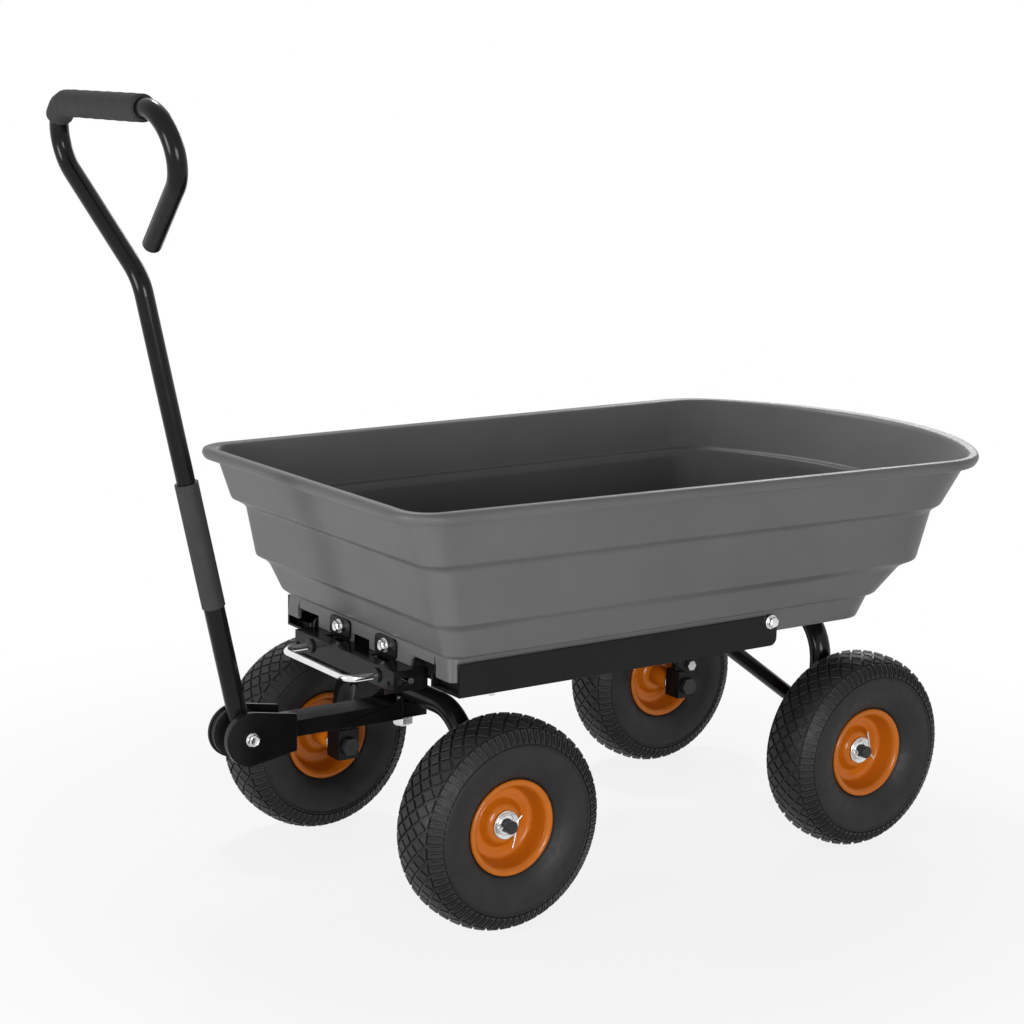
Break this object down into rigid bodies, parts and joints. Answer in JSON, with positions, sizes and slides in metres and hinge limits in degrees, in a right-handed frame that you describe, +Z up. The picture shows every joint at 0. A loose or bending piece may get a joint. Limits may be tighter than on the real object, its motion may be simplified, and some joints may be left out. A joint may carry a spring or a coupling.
{
  "type": "garden dump cart",
  "caption": "Four-wheeled garden cart with a stepped grey plastic tub that tips back, a steering front axle, a pull handle with a foam grip and a spring latch.",
  "frame": {"origin": "on the ground under the middle of the cart's overall box", "axes": "+X forward towards the pull handle, +Y to the cart's left, +Z up"},
  "size_m": [1.2422, 0.6126, 0.9722],
  "materials": {
    "tub_grey": "fine matte moulding grain",
    "frame_black": "gloss powder coat",
    "black_bolt": "black oxide",
    "axle_black": "black paint",
    "zinc": "bright zinc",
    "hub_steel": "gloss paint",
    "spring_steel": "drawn wire",
    "chrome": "bright plated",
    "rim_orange": "gloss paint",
    "tyre": "matte rubber",
    "foam": "closed-cell foam",
    "black_plastic": "matte"
  },
  "bodies": {
    "frame": {"rail_left": "frame_black", "rail_right": "frame_black", "bolster": "frame_black", "latch_bar": "frame_black", "wire_collars": "black_plastic", "rail_bolts": "zinc", "rail_nuts": "zinc", "pivot_bolts": "black_bolt", "pivot_washers": "black_bolt", "pivot_nuts": "zinc", "kingpin": "zinc", "kingpin_nut": "zinc"},
    "tub": {"tub": "tub_grey", "hinge_bushes": "black_plastic", "strike_tabs": "frame_black", "tab_bolts": "black_bolt", "tab_washers": "black_bolt", "tub_nuts": "zinc", "floor_screws": "zinc", "rear_arch": "frame_black", "arch_saddles": "frame_black", "struts": "frame_black", "strut_bolts": "zinc", "rear_brackets": "frame_black", "rear_axles": "axle_black", "rear_washers": "zinc", "rear_pins": "zinc"},
    "front_axle": {"front_arch": "frame_black", "king_sleeve": "frame_black", "tongue": "frame_black", "gussets": "frame_black", "clevis_plates": "frame_black", "clevis_bolt": "black_bolt", "clevis_nut": "zinc", "front_brackets": "frame_black", "front_axles": "axle_black", "front_washers": "zinc", "front_pins": "zinc"},
    "handle": {"handle_eye": "frame_black", "friction_discs": "black_plastic", "handle_tube": "frame_black", "handle_sleeve": "frame_black", "handle_loop": "frame_black", "grip": "foam"},
    "latch": {"latch_wire": "chrome", "latch_springs": "spring_steel"},
    "wheel_front_left": {"tyre_front_left": "tyre", "rim_front_left": "rim_orange", "hub_front_left": "hub_steel"},
    "wheel_front_right": {"tyre_front_right": "tyre", "rim_front_right": "rim_orange", "hub_front_right": "hub_steel"},
    "wheel_rear_left": {"tyre_rear_left": "tyre", "rim_rear_left": "rim_orange", "hub_rear_left": "hub_steel"},
    "wheel_rear_right": {"tyre_rear_right": "tyre", "rim_rear_right": "rim_orange", "hub_rear_right": "hub_steel"}
  },
  "joints": [
    {"name": "tub_dump", "type": "hinge", "parent": "frame", "child": "tub", "pos_m": [-0.21873, 0, 0.317], "axis": [0, -1, 0], "range_deg": [0, 50]},
    {"name": "steering", "type": "hinge", "parent": "frame", "child": "front_axle", "pos_m": [0.20827, 0, 0.243], "axis": [0, 0, 1], "range_deg": [-40, 40]},
    {"name": "handle_pivot", "type": "hinge", "parent": "front_axle", "child": "handle", "pos_m": [0.43527, 0, 0.216], "axis": [0, 1, 0], "range_deg": [-10, 88]},
    {"name": "latch_pull", "type": "slide", "parent": "frame", "child": "latch", "axis": [1, 0, 0], "range_m": [0, 0.012], "stiffness_N_per_m": 400, "springref_m": -0.006, "deforming": ["latch_springs"]},
    {"name": "spin_front_left", "type": "hinge", "parent": "front_axle", "child": "wheel_front_left", "pos_m": [0.20827, 0.215, 0.13], "axis": [0, 1, 0], "continuous": true},
    {"name": "spin_front_right", "type": "hinge", "parent": "front_axle", "child": "wheel_front_right", "pos_m": [0.20827, -0.215, 0.13], "axis": [0, 1, 0], "continuous": true},
    {"name": "spin_rear_left", "type": "hinge", "parent": "tub", "child": "wheel_rear_left", "pos_m": [-0.36173, 0.215, 0.13], "axis": [0, 1, 0], "continuous": true},
    {"name": "spin_rear_right", "type": "hinge", "parent": "tub", "child": "wheel_rear_right", "pos_m": [-0.36173, -0.215, 0.13], "axis": [0, 1, 0], "continuous": true}
  ]
}
